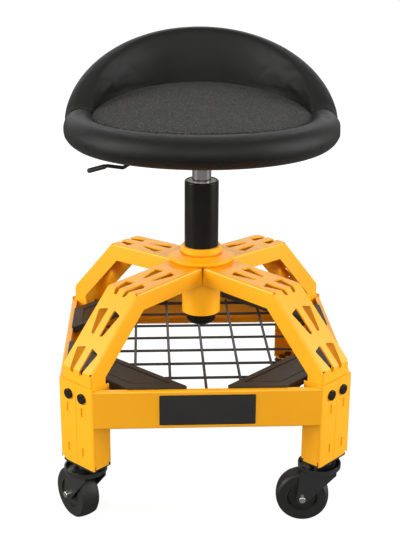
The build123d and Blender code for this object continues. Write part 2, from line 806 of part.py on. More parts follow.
def around(angle, radius, height):
    """Point on the seat at an angle from its back, positive to the right."""
    turn = math.radians(angle + seat_turn)
    return Vector(radius * math.sin(turn), radius * math.cos(turn), height)


def ring_section(angle):
    """Cross-section of the front bolster: two arcs."""
    middle = ring_height(angle)
    inside = around(angle, ring_radius - ring_half_width, middle)
    outside = around(angle, ring_radius + ring_half_width, middle)
    low = around(angle, ring_radius, middle - ring_half_height)
    high = around(angle, ring_radius, middle + ring_half_height)
    lower = Edge.make_three_point_arc(inside, low, outside)
    upper = Edge.make_three_point_arc(outside, high, inside)
    return Face(Wire([lower, upper]))


def back_section(angle):
    """Cross-section of the backrest: ring below, rolled top above, joined by the inner and outer faces."""
    middle = ring_height(angle)
    share = max(back_least_share, math.cos(math.radians(90.0 * angle / joint_angle))) ** back_profile_share
    ring_top = middle + ring_half_height
    top = ring_top + (back_top_height - ring_side_height - ring_half_height) * share
    half_width = ring_half_width + (back_roll_half_width - ring_half_width) * share
    half_height = ring_half_height + (back_roll_half_height - ring_half_height) * share
    centre = ring_radius + back_roll_lean * math.sqrt(share)
    inside = around(angle, ring_radius - ring_half_width, middle)
    outside = around(angle, ring_radius + ring_half_width, middle)
    low = around(angle, ring_radius, middle - ring_half_height)
    roll_outside = around(angle, centre + half_width, top - half_height)
    roll_inside = around(angle, centre - half_width, top - half_height)
    roll_top = around(angle, centre, top)
    return Face(Wire([
        Edge.make_three_point_arc(inside, low, outside), Edge.make_line(outside, roll_outside),
        Edge.make_three_point_arc(roll_outside, roll_top, roll_inside), Edge.make_line(roll_inside, inside)]))


def pad_height(x, y):
    """Height of the pad's top: tilted, saddle-shaped and crowned."""
    across = x / pad_radius
    along = y / pad_radius
    square = across * across + along * along
    saddle = along * along - across * across
    return pad_centre_height - pad_crown * square + pad_tilt_height * along + pad_saddle_height * saddle


def make_seat():
    """Bolster, backrest, pad, inner panel and its brackets."""
    joint_turn = math.degrees(joint_gap / ring_radius)
    span = 360.0 - 2 * joint_angle - 2 * joint_turn
    first = joint_angle + joint_turn
    step = span / (ring_section_count - 1)
    sections = [ring_section(first + step * index) for index in range(ring_section_count)]
    bolster = loft(sections)
    angles = [joint_angle * (2 * index / (back_section_count - 1) - 1) for index in range(back_section_count)]
    back = loft([back_section(angle) for angle in angles])

    panel = ring(panel_inner_radius + panel_thickness, panel_inner_radius, panel_bottom, panel_top)
    reach = 2 * base_half
    beyond = Box(2 * reach, 2 * reach, reach)
    for side in (-1, 1):
        panel -= Rot(0, 0, -side * panel_angle) * Pos(side * reach, 0, panel_bottom) * beyond
    panel = turned(panel, -seat_turn)
    upright_leg = math.sqrt(panel_inner_radius ** 2 - bracket_width ** 2 / 4) - face_gap
    straps = []
    for side in (-1, 1):
        leg = Box(upright_leg - bracket_inner_radius, bracket_width, bracket_sheet,
                  align=(Align.MIN, Align.CENTER, Align.MAX))
        strap = Pos(bracket_inner_radius, 0, board_bottom - face_gap) * leg
        rise = Box(bracket_sheet, bracket_width, bracket_top - board_bottom + bracket_sheet,
                   align=(Align.MAX, Align.CENTER, Align.MIN))
        strap += Pos(upright_leg, 0, board_bottom - bracket_sheet - face_gap) * rise
        straps.append(turned(strap, 90.0 - side * bracket_angle - seat_turn))
    for strap in straps:
        back -= strap
    back -= panel
    parts["seat_bolster"] = bolster
    parts["backrest_pad"] = back
    parts["backrest_panel"] = panel
    parts["backrest_brackets"] = Compound(children=straps)

    grid = 9
    step = 2 * (pad_radius + cut_over) / (grid - 1)
    places = [-(pad_radius + cut_over) + step * i for i in range(grid)]
    rows = [[Vector(x, y, pad_height(x, y)) for y in places] for x in places]
    top = Face.make_surface_from_array_of_points(rows)
    block = rod(pad_radius, board_top + face_gap, board_top + 2 * pad_crown + 2 * ring_half_height)
    pad = split(block, bisect_by=top, keep=Keep.BOTH)
    pad = sorted(pad.solids(), key=lambda solid: solid.center().Z)[0]
    pad = pad - bolster - back
    parts["seat_pad"] = max(pad.solids(), key=lambda solid: solid.volume)


def make_shelf():
    """Welded wire grid: cross wires and rim in one layer, long wires on top of them."""
    limit = shelf_corner / half_root
    corner = limit - shelf_half
    rim = [(corner, -shelf_half), (shelf_half, -corner), (shelf_half, corner), (corner, shelf_half),
           (-corner, shelf_half), (-shelf_half, corner), (-shelf_half, -corner), (-corner, -shelf_half)]
    line = FilletPolyline(*[(x, y, shelf_lower) for x, y in rim], radius=shelf_bend_radius, close=True)
    start = Plane(origin=line @ 0, z_dir=line % 0)
    shelf = sweep(start * Circle(rim_wire_radius), path=line)
    rows = int(shelf_half / wire_pitch)
    for row in range(-rows, rows):
        y = (row + 0.5) * wire_pitch
        half = min(shelf_half, limit - abs(y)) - rim_bite
        shelf += rod_along(wire_radius, (1, 0, 0), (-half, y, shelf_lower), 2 * half)
    for row in range(-rows, rows + 1):
        x = row * wire_pitch
        half = min(shelf_half, limit - abs(x)) + shelf_overhang
        shelf += rod_along(wire_radius, (0, 1, 0), (x, -half, shelf_upper), 2 * half)
    parts["wire_shelf"] = shelf


def tray_outline(inner, outer, side, tip):
    """Tray outline along +X: long edge by the hub, sides along the rails, short edge by the post."""
    far = inner / half_root - tip
    near = outer / half_root - side
    corners = [(side, tip), (far, tip), (tip, far), (tip, side), (near, side), (side, near)]
    return [((p + q) * half_root, (q - p) * half_root) for p, q in corners]


def trapezoid(inner, outer, side):
    """Outline of a tray's floor along +X, with its sharp tips."""
    inner_half = side / half_root - inner
    outer_half = side / half_root - outer
    return [(inner, -inner_half), (outer, -outer_half), (outer, outer_half), (inner, inner_half)]


def make_tray():
    """Corner tray along +X: flange that lies on the rails' lips, shallow groove, inset floor, walls below."""
    rim = make_face(Polyline(*tray_outline(tray_inner, tray_outer, tray_side, tray_tip), close=True))
    rim = fillet(rim.vertices(), tray_round)
    tray = extrude(Pos(0, 0, tray_base) * rim, amount=tray_flange)
    tray = rounded_edges(tray, tray_edge_round, lambda e: abs(e.center().Z - tray_top) < fit_gap)
    gap = tray_wall_gap
    walls = tray_outline(tray_inner + gap, tray_outer - gap, tray_wall_side, tray_tip + gap)
    tray += upright(walls, tray_bottom, tray_base)
    inner = tray_inner + rim_inner_width
    outer = tray_outer - rim_outer_width
    side = tray_side - rim_side_width
    groove = upright(trapezoid(inner, outer, side), tray_top - groove_depth, tray_top + cut_over)
    floor = upright(trapezoid(inner + groove_width, outer - groove_width, side - groove_width),
                    tray_top - groove_depth - rim_step, tray_top - rim_step)
    tray -= groove
    tray += floor
    gap += tray_wall
    under = tray_outline(tray_inner + gap, tray_outer - gap, tray_wall_side - tray_wall, tray_tip + gap)
    tray -= upright(under, tray_bottom - cut_over, tray_top - groove_depth - tray_wall)
    return tray


def make_caster(name):
    """Caster at a corner: fixed head, turning fork, wheel and axle."""
    corner = turned(Pos(swivel_distance, 0, 0) * make_head(), corner_angles[name])
    parts["caster_head_" + name] = corner
    place = Vector(swivel_distance, 0, 0).rotate(Axis.Z, corner_angles[name])
    put = Pos(place.X, place.Y, 0) * Rot(0, 0, trail_angles[name])
    parts["caster_fork_" + name] = put * make_fork()
    parts["caster_wheel_" + name] = put * make_wheel()
    parts["caster_axle_" + name] = put * make_axle()


def make_head():
    """Head of a caster about its swivel axis: bolt plate, neck, race and kingpin."""
    plate_low = post_bottom - mount_plate - face_gap
    plate = Box(mount_plate_width, mount_plate_length, mount_plate,
                align=(Align.CENTER, Align.CENTER, Align.MIN))
    plate = fillet(plate.edges().filter_by(Axis.Z), mount_plate_corner)
    head = Pos(0, 0, plate_low) * plate
    for x in (-mount_bolt_short, mount_bolt_short):
        for y in (-mount_bolt_long, mount_bolt_long):
            head -= Pos(x, y, 0) * rod(mount_bolt_radius + fit_gap, plate_low - cut_over, post_bottom)
    race_low = crown_top + race_gap
    race_top = race_low + race_height
    pin_low = crown_height - race_gap - kingpin_head
    head += spun([
        (0, pin_low), (kingpin_head_radius, pin_low), (kingpin_head_radius, crown_height - race_gap),
        (kingpin_radius, crown_height - race_gap), (kingpin_radius, race_low), (race_radius, race_low),
        (race_radius, race_top), (neck_radius, race_top + race_height / 2),
        (neck_radius, plate_low + weld_bite),
        (0, plate_low + weld_bite)])
    return head


def make_fork():
    """Pressed fork: cup with a raised rim over the wheel and two tapering legs."""
    inner = cup_radius - cup_sheet
    cup = spun([(0, crown_height), (cup_radius, crown_height), (cup_radius, cup_rim_height),
                (inner, cup_rim_height), (inner, crown_top), (0, crown_top)])
    cup = rounded_edges(cup, cup_round / 2, lambda e: abs(e.center().Z - crown_height) < fit_gap
                        and e.radius > inner)
    cup = Pos(cup_shift, 0, 0) * cup
    cup -= rod(kingpin_radius + fit_gap, crown_height - cut_over, crown_top + cut_over)
    leg_top = crown_height + cup_sheet / 2
    rear = trail + fork_top_rear
    front = trail - fork_top_front
    leg = [(rear, leg_top), (front, leg_top), (front, crown_height - cup_round)]
    eye = Vector(trail, 0, wheel_radius)
    front_point = Vector(front, 0, crown_height - cup_round)
    rear_point = Vector(rear, 0, leg_top)
    front_touch = tangent_point(eye, front_point, -1)
    rear_touch = tangent_point(eye, rear_point, 1)
    leg = leg + [(front_touch.X, front_touch.Z), (rear_touch.X, rear_touch.Z)]
    face = make_face(Polyline(*[(x, 0, z) for x, z in leg], close=True))
    fork = cup
    for side in (-1, 1):
        middle = side * (fork_inner + fork_sheet / 2)
        plate = extrude(Pos(0, middle, 0) * face, amount=fork_sheet / 2, dir=(0, 1, 0), both=True)
        plate += rod_along(fork_eye_radius, (0, 1, 0), (eye.X, middle - fork_sheet / 2, eye.Z), fork_sheet)
        fork += plate
    fork -= rod_along(axle_radius + fit_gap, (0, 1, 0), (eye.X, -cup_radius, eye.Z), 2 * cup_radius)
    return fork


def tangent_point(centre, point, side):
    """Where the line from a point touches the fork's eye."""
    dx = point.X - centre.X
    dz = point.Z - centre.Z
    distance = math.hypot(dx, dz)
    angle = math.atan2(dz, dx) - side * math.acos(fork_eye_radius / distance)
    return centre + Vector(math.cos(angle), 0, math.sin(angle)) * fork_eye_radius


def make_wheel():
    """Wheel on its axle across Y: crowned tread, dished faces and a boss."""
    edge = wheel_radius - wheel_crown
    half = wheel_half_width
    web = half - wheel_recess_depth
    profile = [(axle_radius + fit_gap, wheel_boss_half), (wheel_boss_radius, wheel_boss_half),
               (wheel_boss_radius, web), (wheel_recess_radius - wheel_recess_step, web),
               (wheel_recess_radius, half),
               (edge - wheel_shoulder, half), (edge, half - wheel_shoulder)]
    right = [Vector(r, 0, w) for r, w in profile]
    left = [Vector(r, 0, -w) for r, w in reversed(profile)]
    crown = Edge.make_three_point_arc(right[-1], Vector(wheel_radius, 0, 0), left[0])
    lines = [Edge.make_line(a, b) for a, b in zip(right, right[1:])]
    lines = lines + [crown] + [Edge.make_line(a, b) for a, b in zip(left, left[1:])]
    lines = lines + [Edge.make_line(left[-1], right[0])]
    wheel = revolve(Face(Wire(lines)), Axis.Z)
    return Pos(trail, 0, wheel_radius) * Rot(90, 0, 0) * wheel


def make_axle():
    """Axle rivet through both legs, with domed heads."""
    leg_face = fork_inner + fork_sheet
    axle = rod_along(axle_radius, (0, 1, 0), (trail, -leg_face, wheel_radius), 2 * leg_face)
    for side in (-1, 1):
        start = side * (leg_face + face_gap)
        length = axle_half_length - leg_face
        head = rod_along(axle_head_radius, (0, side, 0), (trail, start, wheel_radius), length)
        rim = head.edges().filter_by(GeomType.CIRCLE).sort_by(Axis.Y)
        head = fillet(rim[-1] if side > 0 else rim[0], axle_head_round)
        axle += head
        axle += rod_along(axle_radius, (0, side, 0), (trail, 0, wheel_radius), leg_face + axle_head_round)
    return axle


def make_corner_bolts():
    """Round bolt caps with a shank through face, post and arm, two at each corner."""
    bolts = []
    for angle in corner_angles.values():
        for side in (-1, 1):
            cap = Cylinder(cap_radius, cap_height, align=(Align.CENTER, Align.CENTER, Align.MIN))
            cap = fillet(cap.faces().sort_by(Axis.Z)[-1].edges(), cap_round)
            cap -= Pos(0, 0, cap_height) * Box(2 * cap_radius, cap_slot_width, 2 * cap_slot_depth)
            shank = Cylinder(bolt_shank_radius, bolt_length, align=(Align.CENTER, Align.CENTER, Align.MAX))
            frame = corner_frame(angle, corner_face + face_gap, 0)
            bolt = cap + Pos(0, 0, cap_round) * shank
            bolts.append(frame * (Pos(side * bolt_offset, bolt_height, 0) * bolt))
    return Compound(children=bolts)


def make_mount_bolts():
    """Caster bolts: round head on the foot plate, hexagon nut under the caster's bolt plate."""
    bolts = []
    plate_low = post_bottom - mount_plate - face_gap
    nut_low = plate_low - face_gap - mount_nut_height
    head_low = post_bottom + foot_plate + face_gap
    bolt = rod(mount_bolt_radius, nut_low - mount_bolt_end, head_low + mount_head)
    bolt += rod(mount_head_radius, head_low, head_low + mount_head)
    bolt += Pos(0, 0, nut_low) * extrude(RegularPolygon(mount_nut_radius, 6), amount=mount_nut_height)
    for angle in corner_angles.values():
        for x in (-mount_bolt_short, mount_bolt_short):
            for y in (-mount_bolt_long, mount_bolt_long):
                bolts.append(turned(Pos(swivel_distance + x, y, 0) * bolt, angle))
    return Compound(children=bolts)


def make_name_plate():
    """Bare plate on the middle of the front rail's face."""
    plate = Box(name_plate_width, name_plate_thickness, name_plate_height,
                align=(Align.CENTER, Align.MAX, Align.CENTER))
    plate = fillet(plate.edges().filter_by(Axis.Y), name_plate_round)
    return Pos(0, -base_half - face_gap, rail_bottom + rail_height / 2) * plate


def make_base():
    """Rails, posts, arms, trays, shelf and their fasteners."""
    plain_rail = make_rail(False)
    cut_rail = make_rail(True)
    for name, angle in rail_angles.items():
        shape = plain_rail if name in ("front", "rear") else cut_rail
        parts["rail_" + name] = turned(shape, angle)
    post = make_post()
    arm = make_arm()
    tray = make_tray()
    for name in corner_names:
        parts["corner_post_" + name] = turned(post, corner_angles[name])
        parts["arm_" + name] = turned(arm, corner_angles[name])
        parts["tray_" + name] = turned(tray, corner_angles[name])
        make_caster(name)
    parts["corner_bolts"] = make_corner_bolts()
    parts["caster_bolts"] = make_mount_bolts()
    parts["name_plate"] = make_name_plate()


def write_parts():
    """One STEP file for each node."""
    os.makedirs("parts", exist_ok=True)
    for name, shape in parts.items():
        export_step(shape, os.path.join("parts", name + ".step"))
    print(len(parts), "nodes written")


make_hub()
make_column()
make_rod()
make_tube()
make_mechanism()
make_seat()
make_shelf()
make_base()
write_parts()
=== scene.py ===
import json
import math
import random

import bmesh
import bpy
from mathutils import Matrix, Vector


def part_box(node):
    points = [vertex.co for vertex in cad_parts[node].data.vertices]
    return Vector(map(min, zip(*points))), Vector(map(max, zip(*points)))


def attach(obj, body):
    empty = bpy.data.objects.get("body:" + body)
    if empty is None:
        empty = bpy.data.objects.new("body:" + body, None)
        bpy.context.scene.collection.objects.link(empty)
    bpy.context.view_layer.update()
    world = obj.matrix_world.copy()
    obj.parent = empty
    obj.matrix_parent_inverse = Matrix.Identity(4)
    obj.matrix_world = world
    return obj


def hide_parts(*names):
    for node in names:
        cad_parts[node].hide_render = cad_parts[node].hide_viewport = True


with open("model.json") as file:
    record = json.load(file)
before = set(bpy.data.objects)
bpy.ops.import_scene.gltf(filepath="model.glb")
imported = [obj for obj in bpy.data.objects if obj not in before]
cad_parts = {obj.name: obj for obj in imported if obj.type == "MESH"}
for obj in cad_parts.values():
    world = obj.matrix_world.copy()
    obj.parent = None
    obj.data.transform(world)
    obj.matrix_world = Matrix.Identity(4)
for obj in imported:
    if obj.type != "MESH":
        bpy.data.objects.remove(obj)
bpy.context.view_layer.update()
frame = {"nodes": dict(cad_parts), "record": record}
nodes = frame["nodes"]
random.seed(7)

MM = 0.001


# Camera at the photograph's angle; distances in metres, angles in degrees, the shift in the photo's pixels

PHOTO_HEIGHT = 557
AIM_HEIGHT = 0.30935
CAMERA_DISTANCE = 1.72046
CAMERA_ELEVATION = 19.69
CAMERA_AZIMUTH = -2.77
CAMERA_ROLL = 0.32
CAMERA_LENS = 74.43
SHIFT_PIXELS = -1.16


def make_camera():
    """Camera aimed at the column, with the photograph's angle, distance and slight roll."""
    target = Vector((0.0, 0.0, AIM_HEIGHT))
    elevation = math.radians(CAMERA_ELEVATION)
    azimuth = math.radians(CAMERA_AZIMUTH)
    roll = math.radians(CAMERA_ROLL)
    back = Vector((math.sin(azimuth) * math.cos(elevation), -math.cos(azimuth) * math.cos(elevation),
                   math.sin(elevation)))
    right = (-back).cross(Vector((0, 0, 1))).normalized()
    up = right.cross(-back)
    tilted_right = right * math.cos(roll) + up * math.sin(roll)
    tilted_up = tilted_right.cross(-back)
    data = bpy.data.cameras.new("camera")
    cam = bpy.data.objects.new("camera", data)
    bpy.context.scene.collection.objects.link(cam)
    basis = Matrix((tilted_right, tilted_up, back)).transposed()
    cam.matrix_world = Matrix.Translation(target + back * CAMERA_DISTANCE) @ basis.to_4x4()
    data.sensor_width = 36.0
    data.lens = CAMERA_LENS
    data.shift_x = SHIFT_PIXELS / PHOTO_HEIGHT
    data.clip_start = 0.05
    data.clip_end = 30.0
    bpy.context.scene.camera = cam


# Materials

class Nodes:
    """Short calls for building one node material."""

    def __init__(self, name):
        self.mat = bpy.data.materials.new(name)
        self.mat.use_nodes = True
        self.tree = self.mat.node_tree
        self.shader = self.tree.nodes["Principled BSDF"]
        self.coords = self.tree.nodes.new("ShaderNodeTexCoord").outputs["Object"]

    def new(self, kind, **values):
        """Adds a node, sets its properties, and its inputs by name or place."""
        node = self.tree.nodes.new("ShaderNode" + kind)
        inputs = values.pop("inputs", {})
        for key, value in values.items():
            setattr(node, key, value)
        for key, value in inputs.items():
            if isinstance(value, bpy.types.NodeSocket):
                self.tree.links.new(value, node.inputs[key])
            else:
                node.inputs[key].default_value = value
        return node

    def noise(self, scale, detail=2.0, rough=0.5, coords=None):
        return self.new("TexNoise", inputs={"Vector": coords or self.coords, "Scale": scale, "Detail": detail,
                                            "Roughness": rough}).outputs["Fac"]

    def cells(self, scale, feature="DISTANCE_TO_EDGE", coords=None):
        inputs = {"Vector": coords or self.coords, "Scale": scale}
        return self.new("TexVoronoi", feature=feature, inputs=inputs).outputs["Distance"]

    def ramp(self, value, stops):
        node = self.new("ValToRGB", inputs={"Fac": value})
        elements = node.color_ramp.elements
        while len(elements) < len(stops):
            elements.new(0.5)
        for element, (place, colour) in zip(elements, stops):
            element.position = place
            element.color = (*colour, 1.0)
        return node.outputs["Color"]

    def spread(self, value, low, high, from_low=0.0, from_high=1.0):
        return self.new("MapRange", inputs={"Value": value, "From Min": from_low, "From Max": from_high,
                                            "To Min": low, "To Max": high}).outputs["Result"]

    def mix(self, factor, a, b, blend="MIX"):
        node = self.new("Mix", data_type="RGBA", blend_type=blend)
        for index, value in ((0, factor), (6, a), (7, b)):
            if isinstance(value, bpy.types.NodeSocket):
                self.tree.links.new(value, node.inputs[index])
            else:
                node.inputs[index].default_value = value if index == 0 else (*value, 1.0)
        return node.outputs[2]

    def maths(self, operation, a, b=0.0):
        node = self.new("Math", operation=operation)
        for index, value in ((0, a), (1, b)):
            if isinstance(value, bpy.types.NodeSocket):
                self.tree.links.new(value, node.inputs[index])
            else:
                node.inputs[index].default_value = value
        return node.outputs[0]

    def bump(self, height, distance, strength=1.0, below=None):
        inputs = {"Height": height, "Distance": distance, "Strength": strength}
        if below is not None:
            inputs["Normal"] = below
        return self.new("Bump", inputs=inputs).outputs["Normal"]

    def done(self, colour, roughness, normal=None, **fixed):
        """Links colour, roughness and bump, and sets the other sockets to plain numbers."""
        for key, value in (("Base Color", colour), ("Roughness", roughness), ("Normal", normal)):
            if isinstance(value, bpy.types.NodeSocket):
                self.tree.links.new(value, self.shader.inputs[key])
            elif value is not None:
                self.shader.inputs[key].default_value = (*value, 1.0) if key == "Base Color" else value
        for key, value in fixed.items():
            name = key.replace("_", " ").title().replace("Ior", "IOR")
            self.shader.inputs[name].default_value = value
        return self.mat


def yellow_coat():
    """Yellow powder coat with a fine peel and a little dust."""
    n = Nodes("yellow_coat")
    patches = n.noise(9.0, 3.0)
    base = n.ramp(patches, ((0.3, (0.93, 0.385, 0.002)), (0.7, (0.97, 0.420, 0.003))))
    specks = n.cells(900.0, "F1")
    dust = n.spread(specks, 1.0, 0.0, 0.02, 0.09)
    colour = n.mix(n.maths("MULTIPLY", dust, 0.18), base, (0.72, 0.3, 0.02))
    rough = n.spread(n.noise(60.0, 4.0), 0.34, 0.46)
    peel = n.noise(520.0, 2.0, 0.6)
    normal = n.bump(peel, 0.0002, 0.35)
    return n.done(colour, rough, normal, coat_weight=0.06, coat_roughness=0.2)


def black_coat(name="black_coat", low=0.003, high=0.006, gloss=0.3, level=0.22, tint=(1.0, 0.95, 0.82)):
    """Black coat between two depths of one tint."""
    n = Nodes(name)
    patches = n.noise(14.0, 3.0)
    colour = n.ramp(patches, ((0.3, tuple(low * t for t in tint)), (0.7, tuple(high * t for t in tint))))
    rough = n.spread(n.noise(90.0, 4.0), gloss - 0.05, gloss + 0.08)
    normal = n.bump(n.noise(700.0, 2.0), 0.0001, 0.3)
    return n.done(colour, rough, normal, specular_ior_level=level)


def metal(name, colour, rough, brushed=0.0):
    """Bare or plated metal, with a grain along Z where it is brushed."""
    n = Nodes(name)
    stretch = n.new("Mapping", inputs={"Vector": n.coords, "Scale": (1.0, 1.0, 0.06)}).outputs["Vector"]
    grain = n.noise(900.0, 3.0, coords=stretch)
    tone = n.ramp(n.noise(30.0, 3.0), ((0.3, tuple(c * 0.86 for c in colour)), (0.7, colour)))
    roughness = n.spread(grain, max(rough - 0.05, 0.02), rough + 0.07)
    normal = n.bump(grain, 0.00005, brushed) if brushed else None
    return n.done(tone, roughness, normal, metallic=1.0)


def tray_plastic():
    """Dark brown plastic with a fine pebbled skin."""
    n = Nodes("tray_plastic")
    tone = n.ramp(n.noise(12.0, 4.0), ((0.3, (0.026, 0.018, 0.010)), (0.7, (0.038, 0.026, 0.015))))
    pebble = n.cells(1300.0, "SMOOTH_F1")
    rough = n.spread(n.noise(50.0), 0.42, 0.56)
    normal = n.bump(pebble, 0.00012, 0.6)
    return n.done(tone, rough, normal, specular_ior_level=0.2)


def rubber():
    """Black tread rubber with a little dust."""
    n = Nodes("wheel_rubber")
    tone = n.ramp(n.noise(35.0, 4.0), ((0.3, (0.0065, 0.0062, 0.0058)), (0.75, (0.0115, 0.0108, 0.0100))))
    dust = n.spread(n.noise(240.0, 5.0), 0.0, 0.35, 0.55, 0.8)
    colour = n.mix(dust, tone, (0.022, 0.021, 0.020))
    rough = n.spread(n.noise(120.0, 3.0), 0.4, 0.58)
    normal = n.bump(n.noise(1500.0, 3.0), 0.00008, 0.5)
    return n.done(colour, rough, normal)


def plastic(name, colour, rough):
    """Moulded plastic or rubber of one colour."""
    n = Nodes(name)
    tone = n.ramp(n.noise(25.0, 3.0), ((0.3, tuple(c * 0.85 for c in colour)), (0.7, colour)))
    roughness = n.spread(n.noise(150.0, 3.0), rough - 0.04, rough + 0.06)
    normal = n.bump(n.noise(1200.0, 2.0), 0.00006, 0.4)
    return n.done(tone, roughness, normal)


def plywood():
    """Plywood with plies along Z and a grain on its faces."""
    n = Nodes("plywood")
    stretch = n.new("Mapping", inputs={"Vector": n.coords, "Scale": (3.0, 60.0, 3.0)}).outputs["Vector"]
    grain = n.noise(4.0, 6.0, 0.6, coords=stretch)
    inputs = {"Vector": n.coords, "Scale": 110.0, "Distortion": 0.4}
    plies = n.new("TexWave", bands_direction="Z", inputs=inputs)
    face = n.ramp(grain, ((0.35, (0.36, 0.22, 0.11)), (0.7, (0.56, 0.38, 0.21))))
    colour = n.mix(0.25, face, plies.outputs["Color"], "MULTIPLY")
    return n.done(colour, n.spread(grain, 0.55, 0.75), n.bump(grain, 0.0003, 0.4))


def vinyl():
    """Black vinyl with a fine leather grain, its creases painted darker as shade."""
    n = Nodes("vinyl")
    drift = n.new("TexNoise", inputs={"Vector": n.coords, "Scale": 300.0}).outputs["Color"]
    wobble = n.new("VectorMath", operation="ADD", inputs={0: n.coords, 1: drift})
    warped = n.new("Mix", data_type="VECTOR", inputs={0: 0.0007})
    n.tree.links.new(n.coords, warped.inputs[4])
    n.tree.links.new(wobble.outputs[0], warped.inputs[5])
    grain = n.cells(620.0, coords=warped.outputs[1])
    crease_depth_and_shade = n.spread(grain, 0.0, 1.0, 0.0, 0.18)
    tone = n.ramp(n.noise(18.0, 4.0), ((0.3, (0.0026, 0.0024, 0.0018)), (0.7, (0.0042, 0.0038, 0.0030))))
    # painted shade: the grain's crease lines, which the bump sinks, are coloured darker than the cells
    colour = n.mix(n.maths("SUBTRACT", 1.0, crease_depth_and_shade), tone, (0.0025, 0.0023, 0.0019))
    rough = n.spread(n.noise(70.0, 4.0), 0.46, 0.56)
    soft = n.bump(n.noise(55.0, 2.0), 0.0008, 0.22)
    normal = n.bump(crease_depth_and_shade, 0.00012, 0.8, below=soft)
    return n.done(colour, rough, normal, sheen_weight=0.03, sheen_roughness=0.4, specular_ior_level=0.25)


def seat_cloth():
    """Dark woven cloth with lighter specks, its threads at 45 degrees, the gaps between threads painted
    darker as shade.
    """
    n = Nodes("seat_cloth")
    wave = n.new("Mapping", inputs={"Vector": n.coords, "Rotation": (0.0, 0.0, 0.785)}).outputs["Vector"]
    inputs = {"Vector": wave, "Scale": 260.0, "Distortion": 1.5}
    weave_x = n.new("TexWave", bands_direction="X", inputs=inputs)
    weave_y = n.new("TexWave", bands_direction="Y", inputs=inputs)
    threads = n.maths("MULTIPLY", weave_x.outputs["Fac"], weave_y.outputs["Fac"])
    specks = n.noise(340.0, 3.0, 0.75)
    light = n.spread(specks, 0.0, 1.0, 0.55, 0.62)
    broad = n.noise(26.0, 3.0)
    tone = n.ramp(broad, ((0.3, (0.0070, 0.0062, 0.0052)), (0.7, (0.0100, 0.0089, 0.0076))))
    colour = n.mix(n.maths("MULTIPLY", light, 0.75), tone, (0.115, 0.108, 0.100))
    # painted shade: the gaps between the threads, where the bump sinks, are coloured darker
    thread_gap_shade = n.ramp(threads, ((0.0, (0.55, 0.55, 0.55)), (0.6, (1.0, 1.0, 1.0))))
    colour = n.mix(0.35, colour, thread_gap_shade, "MULTIPLY")
    height = n.maths("ADD", threads, specks)
    normal = n.bump(height, 0.0005, 0.55)
    return n.done(colour, 0.92, normal, sheen_weight=0.06, sheen_roughness=0.5, specular_ior_level=0.25)


def dress():
    """Gives every CAD node its material."""
    mats = {
        "yellow_coat": yellow_coat(),
        "black_coat": black_coat(),
        "fork_coat": black_coat("fork_coat", 0.003, 0.006, 0.3, 1.0, (1.0, 0.96, 0.92)),
        "cap_black": black_coat("cap_black", 0.005, 0.010, 0.26),
        "wire_coat": black_coat("wire_coat", 0.026, 0.040, 0.36),
        "plate_black": plastic("plate_black", (0.022, 0.0212, 0.018), 0.22),
        "grip_plastic": plastic("grip_plastic", (0.008, 0.008, 0.008), 0.38),
        "bumper_rubber": plastic("bumper_rubber", (0.02, 0.02, 0.02), 0.6),
        "white_plastic": plastic("white_plastic", (0.7, 0.69, 0.65), 0.4),
        "tray_plastic": tray_plastic(),
        "wheel_rubber": rubber(),
        "plywood": plywood(),
        "zinc": metal("zinc", (0.68, 0.68, 0.66), 0.26, 0.3),
        "piston_metal": metal("piston_metal", (0.75, 0.74, 0.72), 0.3),
        "chrome": metal("chrome", (0.50, 0.49, 0.48), 0.09),
        "dark_bolt": metal("dark_bolt", (0.10, 0.098, 0.095), 0.32),
    }
    slots = {entry["node"]: entry["material_slot"] for entry in frame["record"]["subparts"]}
    for name, obj in nodes.items():
        mat = mats.get(slots[name])
        if name == "caster_bolts":
            mat = mats["dark_bolt"]
        if name.startswith(("caster_fork", "caster_head")):
            mat = mats["fork_coat"]
        if mat is None:
            continue
        for slot in obj.material_slots:
            slot.material = mat


# Soft seat: vinyl bolster and backrest, cloth pad; sizes in millimetres, heights read from the frame

RING = 172.0
HALF_WIDTH = 25.0
HALF_HEIGHT = 23.0
FRONT_RISE = 3.5
JOINT = 85.0
JOINT_GAP = 0.2
SEAT_TURN = 1.3
ROLL_HALF_WIDTH = 19.5
ROLL_HALF_HEIGHT = 18.5
ROLL_LEAN = 10.0
PROFILE_SHARE = 0.84
LEAST_SHARE = 0.03
PAD_RADIUS = 156.8
PAD_SEAM_RISE = 28.6
PAD_TILT = 6.75
PAD_SADDLE = 6.6
PAD_CROWN = 9.4
PAD_CROWN_POWER = 0.85
SEAM_DEPTH = 2.2
TUCK = 0.6
OUTER_SWELL = 1.2
END_SQUEEZE = 1.3
END_SPAN = 1.6
END_BULGE = 0.6
CAP_RINGS = 4
CAP_REST = 0.6
CURVE_STEPS = 16
SEAT_STEPS = 150
BOLSTER_POINTS = 44
BACK_POINTS = 60
ROLL_TURNS = (104, 78, 52, 26)
LOW_TURNS = (0, -28, -56, -84, -112, -140, -168, -196)
BACK_ROLL_TURNS = (128, 100, 72, 45, 20, 0)

# Backrest's inner face: distances outward, then places as shares of its height over the ring

SEAM_OUT = 0.2
FOOT_OUT = 0.8
FOOT_REACH = 0.3
INNER_OUT = 0.4
INNER_FOOT_SHARE = 0.25
INNER_LEAST_SHARE = 0.3
INNER_DROP_SHARE = 0.12
MIDDLE_SHARE = 0.4

# Pad: rings of its top, its rounded edge as (outward, drop, pull of the seam), its gathers and its underside

